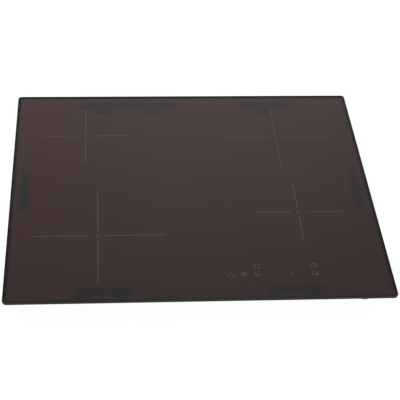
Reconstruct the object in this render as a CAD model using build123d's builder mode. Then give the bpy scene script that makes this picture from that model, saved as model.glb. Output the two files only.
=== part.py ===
"""Built-in induction cooktop with four cooking zones, a 590 x 520 mm class hob.

Frame: +X to the right, +Y to the back, +Z up, in millimetres. The origin is the centre of the
underside, so the hob stands on z = 0 with its glass on top.

From top to bottom it is a glass-ceramic plate with a foam gasket, six steel brackets bonded under
the glass, and a pressed steel tray that hooks on their tongues and is screwed to them at the back.
Inside the tray are four induction coils on two spring-loaded aluminium plates, two power modules
with a blower between them, the mains filter, the touch electronics, and the terminal box with its
hinged cover.
"""

from build123d import *
from math import cos, radians, sqrt
import os

os.makedirs("parts", exist_ok=True)


# ---------------------------------------------------------------------------
# Driving sizes
# ---------------------------------------------------------------------------

# glass and overall stack
glass_width = 590.0
glass_depth = 520.0
glass_thickness = 4.0
glass_corner_radius = 6.0
glass_bevel = 0.8
glass_under_bevel = 0.4
overall_height = 44.0

# foam gasket under the rim of the glass
gasket_width = 6.0
gasket_thickness = 2.0
gasket_edge_gap = 1.0

# housing tray, pressed from galvanised sheet
tray_sheet = 0.8
tray_side_inset = 26.0
tray_back_inset = 34.0
tray_front_inset = 31.7
tray_front_slope = 14.0
tray_corner_radius = 3.0
tray_fold = 1.5
tray_rim_clearance = 0.2

# stiffening beads pressed up in the floor of the tray
bead_width = 10.0
bead_depth = 2.0
bead_draft = 45.0
bead_corner = 3.0
bead_end_gap = 14.0
bead_module_gap = 20.0

# bonded brackets
bracket_sheet = 1.0
bracket_bend_radius = 1.2
bracket_leg_length = 19.0
bracket_hole_drop = 13.0
bond_pad_thickness = 0.8
short_bracket_width = 88.0
side_bracket_width = 94.0
long_bracket_width = 172.0
side_foot_reach = 11.0
front_foot_reach = 18.8
back_foot_reach = 15.0
front_lug_reach = 6.0
front_lug_offsets = [38.0, -26.0]
front_lug_widths = [12.0, 15.0]
back_lug_reach = 17.0
back_lug_offsets = [-43.0, 43.0]
back_lug_width = 29.0
side_bracket_from_middle = 6.0
front_left_bracket_from_side = 150.0
front_right_bracket_from_side = 151.0
back_left_bracket_from_side = 196.0
back_right_bracket_from_side = 148.5
tongue_width = 14.0
tongue_thickness = 1.0
tongue_length = 3.0
tongue_fit = 0.2
screw_radius = 1.9
screw_sides = 8
screw_fit = 0.1
screw_length = 4.5
screw_head_radius = 3.8
screw_head_height = 2.6

# cooking zones: diameter, and centre measured in from the nearest side and front or back edges
small_zone_diameter = 145.0
medium_zone_diameter = 180.0
large_zone_diameter = 210.0
back_left_zone_from_side = 120.5
back_left_zone_from_back = 118.0
back_right_zone_from_side = 140.0
back_right_zone_from_back = 126.5
front_left_zone_from_side = 140.5
front_left_zone_from_front = 144.0
front_right_zone_from_side = 127.0
front_right_zone_from_front = 195.0

# coils
mica_thickness = 0.5
winding_thickness = 4.0
winding_edge_inset = 6.0
winding_inner_radius = 24.0
winding_sides = 36
winding_hole_sides = 18
former_thickness = 2.0
former_hub_radius = 22.0
former_arm_width = 12.0
former_lug_thickness = 2.0
former_lug_gap = 1.0
former_lug_drop = 1.0
ferrite_width = 10.0
ferrite_thickness = 4.5
ferrite_end_gap = 3.0
small_coil_bar_count = 6
larger_coil_bar_count = 8
sensor_radius = 5.0
sensor_clearance = 0.5
sensor_sides = 8
mica_sides = 16

# aluminium coil plates and the leaf springs that press them up
coil_plate_thickness = 1.5
coil_plate_corner = 8.0
coil_plate_flange = 3.0
coil_plate_wall_gap = 5.0
coil_plate_channel_gap = 8.0
coil_window_margin = 8.0
spring_strip = 0.5
spring_width = 10.0
spring_rise = 6.0
spring_span = 34.0
spring_crest = 10.0
spring_foot = 5.0

# power modules
module_width = 166.0
module_wall_gap = 34.0
module_front_gap = 34.0
module_back_gap = 47.5
carrier_sheet = 1.5
carrier_rib_height = 5.0
post_size = 12.0
post_side_inset = 9.0
post_end_inset = 4.0
standoff_size = 7.0
board_thickness = 1.6
board_lift = 3.5
board_side_gap = 18.0
board_end_gap = 22.0
heatsink_width = 46.0
heatsink_base = 3.0
heatsink_fin = 1.4
heatsink_fins = 8
heatsink_length = 118.0
headroom = 1.5
flange_headroom = 0.7
transistor_height = 17.0
transistor_width = 16.0
transistor_thickness = 5.0
transistor_pitch = 27.0
transistor_count = 4
capacitor_width = 18.0
capacitor_length = 31.0
capacitor_height = 17.0
capacitor_pitch_x = 38.0
capacitor_pitch_y = 26.0
capacitor_columns = 3
capacitor_rows = 2
capacitor_heatsink_gap = 14.0

# blower with two outlets, in the channel between the modules
impeller_radius = 33.0
impeller_tip_gap = 2.5
scroll_growth = 8.0
blower_wall = 1.5
blower_inlet_radius = 26.0
blower_module_gap = 4.0
blower_filter_gap = 14.0
blade_count = 21
blade_depth = 7.0
blade_thickness = 1.0
blade_knee_out = 0.55
blade_knee_lean = 0.1
blade_tip_out = 0.85
blade_tip_lean = 0.45
impeller_disc = 1.2
impeller_running_gap = 1.5
hub_radius = 13.0
hub_wall = 1.2
shaft_radius = 1.5
shaft_fit = 0.05
shaft_end_gap = 0.5
bearing_tube_radius = 4.0
bearing_tube_gap = 1.0
stator_radius = 10.5
stator_slot_width = 2.5
stator_slot_depth = 3.5
stator_poles = 4
stator_height = 9.0

# touch controls
control_carrier_width = 170.0
control_carrier_depth = 42.0
control_from_right = 183.0
control_from_front = 61.0
control_carrier_wall = 1.5
control_carrier_corner = 1.5
control_ledge = 2.5
control_ledge_height = 3.0
control_board_fit = 0.3
touch_pad_size = 8.0
touch_pad_gap = 0.3
key_row_front = -9.0
key_row_back = 8.0
front_key_x = [-65.0, -45.0, -24.5, 7.7, 29.0, 63.3]
back_key_x = [-24.5, 63.3]
display_width = 13.0
display_depth = 9.0
display_gap = 1.0
display_x = [-6.0, 46.5]

# terminal box in the back wall
terminal_box_width = 82.0
terminal_box_depth = 42.0
terminal_box_wall = 2.0
terminal_box_left = 8.0
terminal_box_fit = 0.3
terminal_sill = 2.0
terminal_divider_depth = 12.0
cable_bay_width = 24.0
cable_hole_radius = 7.0
cover_thickness = 2.0
cover_gap = 0.4
cover_barrel_radius = 2.2
cover_pin_radius = 1.2
cover_pin_length = 1.2
cover_pin_fit = 0.05
terminal_poles = 5
terminal_pitch = 9.6
terminal_rib = 1.6
terminal_block_depth = 15.0
terminal_block_height = 15.0
terminal_recess_depth = 6.0
terminal_recess_height = 8.0
terminal_screw_radius = 2.6
terminal_screw_head = 2.0

# mains filter between the two modules
filter_board_width = 84.0
filter_board_depth = 92.0
filter_lug_height = 4.0
filter_lug_size = 8.0
filter_capacitor_from_middle = 28.0
filter_capacitor_count = 2
choke_core_size = 36.0
choke_core_leg = 8.0
choke_winding_width = 15.0
choke_height = 16.0
choke_from_middle = 16.0

# snap-in springs on the side walls
clip_strip = 0.6
clip_width = 24.0
clip_bulge = 12.5
clip_lead = 1.0
clip_pivot_drop = 9.0
clip_drop = 15.0
clip_tail = 9.0
clip_return = 5.0
clip_nose_radius = 3.0
clip_hook_length = 4.0
clip_gap = 0.3
clip_slot_clearance = 0.8
clip_from_middle = 125.0

# vents
vent_slot_width = 3.5
vent_pitch = 9.0
front_vent_length = 12.0
wall_vent_length = 14.0
front_vent_count = 11
back_vent_count = 7
side_vent_count = 9
intake_pitch = 7.0
intake_rows = 7


# ---------------------------------------------------------------------------
# Levels and places worked out from the driving sizes
# ---------------------------------------------------------------------------

glass_z = overall_height - glass_thickness
foot_top_z = glass_z - bond_pad_thickness
foot_bottom_z = foot_top_z - bracket_sheet
tray_rim_z = foot_bottom_z - bracket_bend_radius - tray_rim_clearance
floor_z = tray_sheet

tray_side_x = glass_width / 2 - tray_side_inset
tray_back_y = glass_depth / 2 - tray_back_inset
tray_front_y = -glass_depth / 2 + tray_front_inset
inner_side_x = tray_side_x - tray_sheet
inner_back_y = tray_back_y - tray_sheet
inner_front_y = tray_front_y + tray_sheet
floor_front_y = tray_front_y + tray_front_slope

winding_top_z = glass_z - mica_thickness
winding_bottom_z = winding_top_z - winding_thickness
former_bottom_z = winding_bottom_z - former_thickness
plate_top_z = former_bottom_z - ferrite_thickness
plate_bottom_z = plate_top_z - coil_plate_thickness
post_top_z = plate_bottom_z - spring_rise
ceiling_z = plate_bottom_z - headroom
low_ceiling_z = plate_bottom_z - coil_plate_flange - flange_headroom

carrier_top_z = floor_z + carrier_sheet
board_bottom_z = carrier_top_z + board_lift
board_top_z = board_bottom_z + board_thickness

front_left_bracket_x = -glass_width / 2 + front_left_bracket_from_side
front_right_bracket_x = glass_width / 2 - front_right_bracket_from_side
back_left_bracket_x = -glass_width / 2 + back_left_bracket_from_side
back_right_bracket_x = glass_width / 2 - back_right_bracket_from_side

module_back_y = inner_back_y - module_back_gap
module_front_y = floor_front_y + module_front_gap
module_length = module_back_y - module_front_y
module_middle_y = (module_back_y + module_front_y) / 2
module_x = inner_side_x - module_wall_gap - module_width / 2

filter_x = 0.0
filter_y = inner_back_y - terminal_box_depth - headroom - filter_board_depth / 2

filter_board_top_z = floor_z + filter_lug_height + board_thickness

scroll_start_radius = impeller_radius + impeller_tip_gap
scroll_end_radius = scroll_start_radius + scroll_growth
blower_x = 0.0
blower_y = filter_y - filter_board_depth / 2 - blower_filter_gap - blower_wall - scroll_end_radius

# each zone: name, centre x, centre y, zone diameter, ferrite bars, side of the hob it is on
zones = [
    (
        "rear_left",
        -glass_width / 2 + back_left_zone_from_side,
        glass_depth / 2 - back_left_zone_from_back,
        small_zone_diameter,
        small_coil_bar_count,
        -1,
    ),
    (
        "rear_right",
        glass_width / 2 - back_right_zone_from_side,
        glass_depth / 2 - back_right_zone_from_back,
        medium_zone_diameter,
        larger_coil_bar_count,
        1,
    ),
    (
        "front_left",
        -glass_width / 2 + front_left_zone_from_side,
        -glass_depth / 2 + front_left_zone_from_front,
        large_zone_diameter,
        larger_coil_bar_count,
        -1,
    ),
    (
        "front_right",
        glass_width / 2 - front_right_zone_from_side,
        -glass_depth / 2 + front_right_zone_from_front,
        small_zone_diameter,
        small_coil_bar_count,
        1,
    ),
]


def save(piece, name):
    """Label a finished piece and write it as parts/name.step."""
    piece.label = name
    export_step(piece, f"parts/{name}.step")


# ---------------------------------------------------------------------------
# Glass plate and its gasket
# ---------------------------------------------------------------------------

with BuildPart() as glass_plate:
    with BuildSketch(Plane.XY.offset(glass_z)):
        RectangleRounded(glass_width, glass_depth, glass_corner_radius)
    extrude(amount=glass_thickness)
    chamfer(faces().sort_by(Axis.Z)[-1].edges(), glass_bevel)
    chamfer(faces().sort_by(Axis.Z)[0].edges(), glass_under_bevel)
save(glass_plate.part, "glass_plate")

gasket_outer_width = glass_width - 2 * gasket_edge_gap
gasket_outer_depth = glass_depth - 2 * gasket_edge_gap
gasket_outer_radius = glass_corner_radius - gasket_edge_gap

with BuildPart() as worktop_gasket:
    with BuildSketch(Plane.XY.offset(glass_z)):
        RectangleRounded(gasket_outer_width, gasket_outer_depth, gasket_outer_radius)
        Rectangle(
            gasket_outer_width - 2 * gasket_width,
            gasket_outer_depth - 2 * gasket_width,
            mode=Mode.SUBTRACT,
        )
    extrude(amount=-gasket_thickness)
save(worktop_gasket.part, "worktop_gasket")


# ---------------------------------------------------------------------------
# Bonded brackets. Each stands against the inside of a tray wall: "out" points through that
# wall, and the place is the middle of the bracket on the wall's inner face.
# ---------------------------------------------------------------------------

# lugs of a foot: offset along the wall, width, and where it starts and ends outwards from the wall
front_lugs = [
    (offset_along, lug_width, front_foot_reach, front_foot_reach + front_lug_reach)
    for offset_along, lug_width in zip(front_lug_offsets, front_lug_widths)
]
back_lugs = [(offset_along, back_lug_width, -back_lug_reach, 0) for offset_along in back_lug_offsets]

# name: place, out, width, reach of the foot, lugs, fixing
brackets = {
    "bracket_front_left": (
        (front_left_bracket_x, inner_front_y), (0, -1), short_bracket_width,
        front_foot_reach, front_lugs, "tongue",
    ),
    "bracket_front_right": (
        (front_right_bracket_x, inner_front_y), (0, -1), short_bracket_width,
        front_foot_reach, front_lugs, "tongue",
    ),
    "bracket_side_left": (
        (-inner_side_x, -side_bracket_from_middle), (-1, 0), side_bracket_width,
        side_foot_reach, [], "tongue",
    ),
    "bracket_side_right": (
        (inner_side_x, -side_bracket_from_middle), (1, 0), side_bracket_width,
        side_foot_reach, [], "tongue",
    ),
    "bracket_rear_left": (
        (back_left_bracket_x, inner_back_y), (0, 1), long_bracket_width,
        back_foot_reach, back_lugs, "screw",
    ),
    "bracket_rear_right": (
        (back_right_bracket_x, inner_back_y), (0, 1), short_bracket_width,
        back_foot_reach, [], "screw",
    ),
}
bracket_hole_z = foot_bottom_z - bracket_hole_drop
screw_hole_radius = screw_radius + screw_fit


def wall_plane(place, out, z=0.0):
    """Plane that lies on a wall's inner face: X along the wall, Z straight out through it."""
    return Plane(origin=(*place, z), x_dir=(-out[1], out[0], 0), z_dir=(*out, 0))


def section_plane(place, out, z=0.0):
    """Upright plane across a wall: X straight out through it, Y up."""
    return Plane(origin=(*place, z), x_dir=(*out, 0), z_dir=(out[1], -out[0], 0))


def level_plane(place, out, z):
    """Level plane at a height: X along the wall, Y straight out through it."""
    return Plane(origin=(*place, z), x_dir=(out[1], -out[0], 0), z_dir=(0, 0, 1))


for name, (place, out, width, reach, lugs, fixing) in brackets.items():
    with BuildPart() as bracket:
        with BuildSketch(section_plane(place, out)):
            with BuildLine():
                FilletPolyline(
                    (-bracket_sheet / 2, foot_top_z - bracket_leg_length),
                    (-bracket_sheet / 2, foot_top_z - bracket_sheet / 2),
                    (reach, foot_top_z - bracket_sheet / 2),
                    radius=bracket_bend_radius + bracket_sheet / 2,
                )
            trace(line_width=bracket_sheet)
        extrude(amount=width / 2, both=True)
        for offset_along, lug_width, lug_start, lug_end in lugs:
            with BuildSketch(level_plane(place, out, foot_bottom_z)):
                with Locations((offset_along, (lug_start + lug_end) / 2)):
                    Rectangle(lug_width, lug_end - lug_start)
            extrude(amount=bracket_sheet)
        with BuildSketch(wall_plane(place, out, bracket_hole_z)):
            if fixing == "screw":
                Circle(screw_hole_radius)
            else:
                Rectangle(tongue_width, tongue_thickness)
        if fixing == "screw":
            extrude(amount=-bracket_sheet, mode=Mode.SUBTRACT)
        else:
            extrude(amount=tongue_length)
    save(bracket.part, name)

with BuildPart() as bonding_pads:
    for place, out, width, reach, lugs, fixing in brackets.values():
        with BuildSketch(level_plane(place, out, foot_top_z)):
            with Locations((0, (reach + bracket_bend_radius) / 2)):
                Rectangle(width, reach - bracket_bend_radius)
            for offset_along, lug_width, lug_start, lug_end in lugs:
                with Locations((offset_along, (lug_start + lug_end) / 2)):
                    Rectangle(lug_width, lug_end - lug_start)
        extrude(amount=bond_pad_thickness)
save(bonding_pads.part, "bonding_pads")

with BuildPart() as bracket_screws:
    for place, out, width, reach, lugs, fixing in brackets.values():
        if fixing == "screw":
            outer_face = wall_plane(place, out, bracket_hole_z).offset(tray_sheet)
            with BuildSketch(outer_face):
                RegularPolygon(screw_head_radius, 6)
            extrude(amount=screw_head_height)
            with BuildSketch(outer_face):
                RegularPolygon(screw_radius, screw_sides)
            extrude(amount=-screw_length)
save(bracket_screws.part, "bracket_screws")


# ---------------------------------------------------------------------------
# Housing tray: pressed sheet with a sloping front, beads, vents, and the terminal box's opening
# ---------------------------------------------------------------------------

clip_pivot_z = tray_rim_z - clip_pivot_drop
terminal_box_x = terminal_box_left + terminal_box_width / 2
filter_lug_spacing_x = filter_board_width - filter_lug_size
filter_lug_spacing_y = filter_board_depth - filter_lug_size
side_vent_z = floor_z + tray_fold + wall_vent_length / 2
clip_slot_height = clip_strip + 2 * clip_slot_clearance

module_outer_x = module_x + module_width / 2
bead_x = module_x - module_width / 2 - bead_module_gap - bead_width / 2
beads_front_y = module_front_y + bead_end_gap
beads_back_y = blower_y - scroll_end_radius - blower_wall - bead_end_gap
front_bead_y = (floor_front_y + module_front_y) / 2
back_bead_y = (module_back_y + inner_back_y) / 2
left_bead_end_x = terminal_box_left - bead_end_gap
right_bead_end_x = terminal_box_left + terminal_box_width + bead_end_gap

# each bead of the floor: left, right, front and back edge
floor_beads = [
    (x - bead_width / 2, x + bead_width / 2, beads_front_y, beads_back_y)
    for x in (-bead_x, 0, bead_x)
]
floor_beads += [
    (left, right, y - bead_width / 2, y + bead_width / 2)
    for left, right, y in (
        (-module_outer_x, module_outer_x, front_bead_y),
        (-module_outer_x, left_bead_end_x, back_bead_y),
        (right_bead_end_x, module_outer_x, back_bead_y),
    )
]

with BuildPart() as housing_tray:
    with BuildSketch(Plane.YZ):
        with BuildLine():
            Polyline(
                (tray_back_y, 0),
                (tray_back_y, tray_rim_z),
                (tray_front_y, tray_rim_z),
                (tray_front_y, tray_front_slope),
                (floor_front_y, 0),
                close=True,
            )
        make_face()
    extrude(amount=tray_side_x, both=True)
    fillet(edges().filter_by(Axis.Z), tray_corner_radius)
    chamfer(faces().sort_by(Axis.Z)[0].edges(), tray_fold)
    offset(amount=-tray_sheet, openings=faces().sort_by(Axis.Z)[-1])

    # beads with sloping sides that stiffen the floor: the raised side first, then the hollow below
    bead_wall_grow = 2 * tray_sheet / cos(radians(bead_draft))
    for height, grow, mode in (
        (bead_depth + tray_sheet, bead_wall_grow, Mode.ADD),
        (bead_depth, 0, Mode.SUBTRACT),
    ):
        for left, right, front, back in floor_beads:
            with BuildSketch(Plane.XY):
                with Locations(((left + right) / 2, (front + back) / 2)):
                    Rectangle(right - left + grow, back - front + grow)
                chamfer(vertices(), bead_corner)
            extrude(amount=height, taper=bead_draft, mode=mode)

    # pressed lugs that carry the filter board
    with BuildSketch(Plane.XY.offset(floor_z)):
        with Locations((filter_x, filter_y)):
            with GridLocations(filter_lug_spacing_x, filter_lug_spacing_y, 2, 2):
                Rectangle(filter_lug_size, filter_lug_size)
    extrude(amount=filter_lug_height)
    with BuildSketch(Plane.XY):
        with Locations((filter_x, filter_y)):
            with GridLocations(filter_lug_spacing_x, filter_lug_spacing_y, 2, 2):
                Rectangle(filter_lug_size - 2 * tray_sheet, filter_lug_size - 2 * tray_sheet)
    extrude(amount=filter_lug_height, mode=Mode.SUBTRACT)

    # exhaust slots in the sloping front
    slope_middle = Plane(
        origin=(0, tray_front_y + tray_front_slope / 2, tray_front_slope / 2),
        x_dir=(1, 0, 0),
        z_dir=(0, -1, -1),
    )
    for side in (-1, 1):
        with BuildSketch(slope_middle):
            with Locations((side * module_x, 0)):
                with GridLocations(vent_pitch, 1, front_vent_count, 1):
                    Rectangle(vent_slot_width, front_vent_length)
        extrude(amount=2 * tray_sheet, both=True, mode=Mode.SUBTRACT)

    # slots in both side walls, between the clip springs, and in the back wall
    for side in (-1, 1):
        with BuildSketch(wall_plane((side * inner_side_x, blower_y), (side, 0), side_vent_z)):
            with GridLocations(vent_pitch, 1, side_vent_count, 1):
                Rectangle(vent_slot_width, wall_vent_length)
        extrude(amount=tray_sheet, mode=Mode.SUBTRACT)
    with BuildSketch(wall_plane((back_left_bracket_x, inner_back_y), (0, 1), side_vent_z)):
        with GridLocations(vent_pitch, 1, back_vent_count, 1):
            Rectangle(vent_slot_width, wall_vent_length)
    extrude(amount=tray_sheet, mode=Mode.SUBTRACT)

    # round air intake in the floor, made of rows of slots under the blower
    for row in range(intake_rows):
        row_y = (row - (intake_rows - 1) / 2) * intake_pitch
        row_length = 2 * sqrt(blower_inlet_radius**2 - row_y**2)
        with BuildSketch(Plane.XY):
            with Locations((blower_x, blower_y + row_y)):
                Rectangle(row_length, vent_slot_width)
        extrude(amount=tray_sheet, mode=Mode.SUBTRACT)

    # opening for the terminal box in the back wall
    opening_bottom_z = floor_z + terminal_sill
    opening_height = low_ceiling_z - opening_bottom_z
    with BuildSketch(
        wall_plane((terminal_box_x, inner_back_y), (0, 1), opening_bottom_z + opening_height / 2)
    ):
        Rectangle(terminal_box_width, opening_height)
    extrude(amount=tray_sheet, mode=Mode.SUBTRACT)

    # holes for the bracket screws, and slots for the clip springs
    for place, out, width, reach, lugs, fixing in brackets.values():
        with BuildSketch(wall_plane(place, out, bracket_hole_z)):
            if fixing == "screw":
                Circle(screw_hole_radius)
            else:
                Rectangle(tongue_width + 2 * tongue_fit, tongue_thickness + 2 * tongue_fit)
        extrude(amount=tray_sheet, mode=Mode.SUBTRACT)
    for side in (-1, 1):
        for y in (-clip_from_middle, clip_from_middle):
            with BuildSketch(wall_plane((side * inner_side_x, y), (side, 0), clip_pivot_z)):
                Rectangle(clip_width + 2 * clip_slot_clearance, clip_slot_height)
            extrude(amount=tray_sheet, mode=Mode.SUBTRACT)
save(housing_tray.part, "housing_tray")


# ---------------------------------------------------------------------------
# Clip springs that hold the hob in the worktop cut-out. Each hooks through a slot of a side wall.
# ---------------------------------------------------------------------------

clip_hook_x = -clip_gap - clip_strip / 2

for side_name, side in (("left", -1), ("right", 1)):
    for end_name, y in (("front", -clip_from_middle), ("rear", clip_from_middle)):
        with BuildPart() as clip_spring:
            with BuildSketch(section_plane((side * inner_side_x, y), (side, 0), clip_pivot_z)):
                with BuildLine():
                    FilletPolyline(
                        (clip_hook_x, -clip_hook_length),
                        (clip_hook_x, 0),
                        (tray_sheet + clip_lead, 0),
                        (tray_sheet + clip_bulge, -clip_drop),
                        (tray_sheet + clip_bulge - clip_return, -clip_drop - clip_tail),
                        radius=[clip_strip, clip_strip, clip_nose_radius],
                    )
                trace(line_width=clip_strip)
            extrude(amount=clip_width / 2, both=True)
        save(clip_spring.part, f"clip_spring_{end_name}_{side_name}")


# ---------------------------------------------------------------------------
# Induction coils, one for each zone: mica sheet, litz winding, former, ferrite bars and sensor
# ---------------------------------------------------------------------------

sensor_hole_radius = sensor_radius + sensor_clearance

for zone_name, x, y, zone_diameter, bar_count, side in zones:
    winding_radius = zone_diameter / 2 - winding_edge_inset
    arm_end_radius = winding_radius + former_lug_gap + former_lug_thickness

    with BuildPart() as mica_sheet:
        with BuildSketch(Plane.XY.offset(winding_top_z)):
            with Locations((x, y)):
                RegularPolygon(winding_radius, mica_sides)
                RegularPolygon(sensor_hole_radius, sensor_sides, mode=Mode.SUBTRACT)
        extrude(amount=mica_thickness)
    save(mica_sheet.part, f"mica_sheet_{zone_name}")

    with BuildPart() as coil_former:
        with BuildSketch(Plane.XY.offset(former_bottom_z)):
            with Locations((x, y)):
                RegularPolygon(former_hub_radius, 2 * bar_count)
                with PolarLocations(arm_end_radius / 2, bar_count):
                    Rectangle(arm_end_radius, former_arm_width)
        extrude(amount=former_thickness)
        with BuildSketch(Plane.XY.offset(winding_bottom_z)):
            with Locations((x, y)):
                with PolarLocations(arm_end_radius - former_lug_thickness / 2, bar_count):
                    Rectangle(former_lug_thickness, former_arm_width)
        extrude(amount=winding_thickness - former_lug_drop)
    save(coil_former.part, f"coil_former_{zone_name}")

    bar_length = winding_radius - ferrite_end_gap - former_hub_radius
    with BuildPart() as ferrite_bars:
        with BuildSketch(Plane.XY.offset(plate_top_z)):
            with Locations((x, y)):
                with PolarLocations(former_hub_radius + bar_length / 2, bar_count):
                    Rectangle(bar_length, ferrite_width)
        extrude(amount=ferrite_thickness)
    save(ferrite_bars.part, f"ferrite_bars_{zone_name}")

with BuildPart() as coil_windings:
    for zone_name, x, y, zone_diameter, bar_count, side in zones:
        with BuildSketch(Plane.XY.offset(winding_bottom_z)):
            with Locations((x, y)):
                RegularPolygon(zone_diameter / 2 - winding_edge_inset, winding_sides)
                RegularPolygon(winding_inner_radius, winding_hole_sides, mode=Mode.SUBTRACT)
        extrude(amount=winding_thickness)
save(coil_windings.part, "coil_windings")

with BuildPart() as temperature_sensors:
    for zone_name, x, y, zone_diameter, bar_count, side in zones:
        with BuildSketch(Plane.XY.offset(winding_bottom_z)):
            with Locations((x, y)):
                RegularPolygon(sensor_radius, sensor_sides)
        extrude(amount=glass_z - winding_bottom_z)
save(temperature_sensors.part, "temperature_sensors")


# ---------------------------------------------------------------------------
# Coil plates with folded edges, on leaf springs
# ---------------------------------------------------------------------------

plate_outer_x = inner_side_x - coil_plate_wall_gap
plate_inner_x = coil_plate_channel_gap / 2
plate_width = plate_outer_x - plate_inner_x
plate_back_y = inner_back_y - coil_plate_wall_gap
plate_front_y = inner_front_y + coil_plate_wall_gap
plate_depth = plate_back_y - plate_front_y
plate_middle_y = (plate_back_y + plate_front_y) / 2
post_length = spring_span + 2 * spring_foot
post_spacing_x = module_width - 2 * post_side_inset
post_spacing_y = module_length - post_length - 2 * post_end_inset

for side_name, side in (("left", -1), ("right", 1)):
    plate_x = side * (plate_outer_x + plate_inner_x) / 2
    with BuildPart() as coil_plate:
        # a shallow lid with cut corners, its edges folded down all round
        with BuildSketch(Plane.XY.offset(plate_top_z)):
            with Locations((plate_x, plate_middle_y)):
                Rectangle(plate_width, plate_depth)
        extrude(amount=-(coil_plate_thickness + coil_plate_flange))
        chamfer(edges().filter_by(Axis.Z), coil_plate_corner)
        offset(amount=-coil_plate_thickness, openings=faces().sort_by(Axis.Z)[0])
        # round window under each coil, for its leads and its sensor
        with BuildSketch(Plane.XY.offset(plate_bottom_z)):
            for zone_name, x, y, zone_diameter, bar_count, zone_side in zones:
                if zone_side == side:
                    with Locations((x, y)):
                        RegularPolygon(former_hub_radius - coil_window_margin, bar_count)
        extrude(amount=coil_plate_thickness, mode=Mode.SUBTRACT)
    save(coil_plate.part, f"coil_plate_{side_name}")

with BuildPart() as coil_plate_springs:
    for side in (-1, 1):
        for end_x in (-1, 1):
            for end_y in (-1, 1):
                spring_x = side * module_x + end_x * post_spacing_x / 2
                spring_y = module_middle_y + end_y * post_spacing_y / 2
                with BuildSketch(section_plane((spring_x, spring_y), (0, 1), post_top_z)):
                    with BuildLine():
                        Polyline(
                            (-post_length / 2, spring_strip / 2),
                            (-spring_span / 2, spring_strip / 2),
                            (-spring_crest / 2, spring_rise - spring_strip / 2),
                            (spring_crest / 2, spring_rise - spring_strip / 2),
                            (spring_span / 2, spring_strip / 2),
                            (post_length / 2, spring_strip / 2),
                        )
                    trace(line_width=spring_strip)
                extrude(amount=spring_width / 2, both=True)
save(coil_plate_springs.part, "coil_plate_springs")


# ---------------------------------------------------------------------------
# Power modules, one on each side: carrier, board, heatsink, transistors and capacitors. Each
# heatsink lies across its board, in line with the blower's outlet on that side.
# ---------------------------------------------------------------------------

board_width = module_width - 2 * board_side_gap
board_length = module_length - 2 * board_end_gap
heatsink_middle_x = module_x - (board_width - heatsink_length) / 2
fin_pitch = (heatsink_width - heatsink_fin) / (heatsink_fins - 1)
transistor_offset = (heatsink_width + transistor_thickness) / 2
capacitor_offset = (
    heatsink_width / 2 + capacitor_heatsink_gap + capacitor_pitch_y * (capacitor_rows - 1) / 2
    + capacitor_width / 2
)


def heatsink_y(side):
    """Middle of the heatsink on one side, which is the middle of that side's blower outlet."""
    return blower_y - side * scroll_end_radius / 2


for side_name, side in (("left", -1), ("right", 1)):
    module_center = (side * module_x, module_middle_y)

    with BuildPart() as electronics_carrier:
        with BuildSketch(Plane.XY.offset(floor_z)):
            with Locations(module_center):
                Rectangle(module_width, module_length)
        extrude(amount=carrier_sheet)
        with BuildSketch(Plane.XY.offset(carrier_top_z)):
            with Locations(module_center):
                Rectangle(module_width, module_length)
                Rectangle(
                    module_width - 2 * carrier_sheet,
                    module_length - 2 * carrier_sheet,
                    mode=Mode.SUBTRACT,
                )
        extrude(amount=carrier_rib_height)
        # hollow posts under the leaf springs
        with BuildSketch(Plane.XY.offset(carrier_top_z)):
            with Locations(module_center):
                with GridLocations(post_spacing_x, post_spacing_y, 2, 2):
                    Rectangle(post_size, post_length)
        extrude(amount=post_top_z - carrier_top_z)
        with BuildSketch(Plane.XY.offset(floor_z)):
            with Locations(module_center):
                with GridLocations(post_spacing_x, post_spacing_y, 2, 2):
                    Rectangle(post_size - 2 * carrier_sheet, post_length - 2 * carrier_sheet)
        extrude(amount=post_top_z - floor_z - carrier_sheet, mode=Mode.SUBTRACT)
        # standoffs under the board
        with BuildSketch(Plane.XY.offset(carrier_top_z)):
            with Locations(module_center):
                with GridLocations(board_width - standoff_size, board_length - standoff_size, 2, 2):
                    Rectangle(standoff_size, standoff_size)
        extrude(amount=board_lift)
    save(electronics_carrier.part, f"electronics_carrier_{side_name}")

    with BuildPart() as power_board:
        with BuildSketch(Plane.XY.offset(board_bottom_z)):
            with Locations(module_center):
                Rectangle(board_width, board_length)
        extrude(amount=board_thickness)
    save(power_board.part, f"power_board_{side_name}")

    with BuildPart() as heatsink:
        with BuildSketch(Plane.XY.offset(board_top_z)):
            with Locations((side * heatsink_middle_x, heatsink_y(side))):
                Rectangle(heatsink_length, heatsink_width)
        extrude(amount=heatsink_base)
        with BuildSketch(Plane.XY.offset(board_top_z + heatsink_base)):
            with Locations((side * heatsink_middle_x, heatsink_y(side))):
                with GridLocations(1, fin_pitch, 1, heatsink_fins):
                    Rectangle(heatsink_length, heatsink_fin)
        extrude(amount=ceiling_z - board_top_z - heatsink_base)
    save(heatsink.part, f"heatsink_{side_name}")

with BuildPart() as power_transistors:
    for side in (-1, 1):
        with BuildSketch(Plane.XY.offset(board_top_z)):
            with Locations((side * heatsink_middle_x, heatsink_y(side) + transistor_offset)):
                with GridLocations(transistor_pitch, 1, transistor_count, 1):
                    Rectangle(transistor_width, transistor_thickness)
        extrude(amount=transistor_height)
save(power_transistors.part, "power_transistors")

with BuildPart() as film_capacitors:
    for side in (-1, 1):
        with BuildSketch(Plane.XY.offset(board_top_z)):
            with Locations((side * module_x, heatsink_y(side) - capacitor_offset)):
                with GridLocations(
                    capacitor_pitch_x, capacitor_pitch_y, capacitor_columns, capacitor_rows
                ):
                    Rectangle(capacitor_length, capacitor_width)
        extrude(amount=capacitor_height)
save(film_capacitors.part, "film_capacitors")


# ---------------------------------------------------------------------------
# Blower: a forward-curved impeller in a double scroll, which blows to the left from its back
# half and to the right from its front half
# ---------------------------------------------------------------------------

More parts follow.
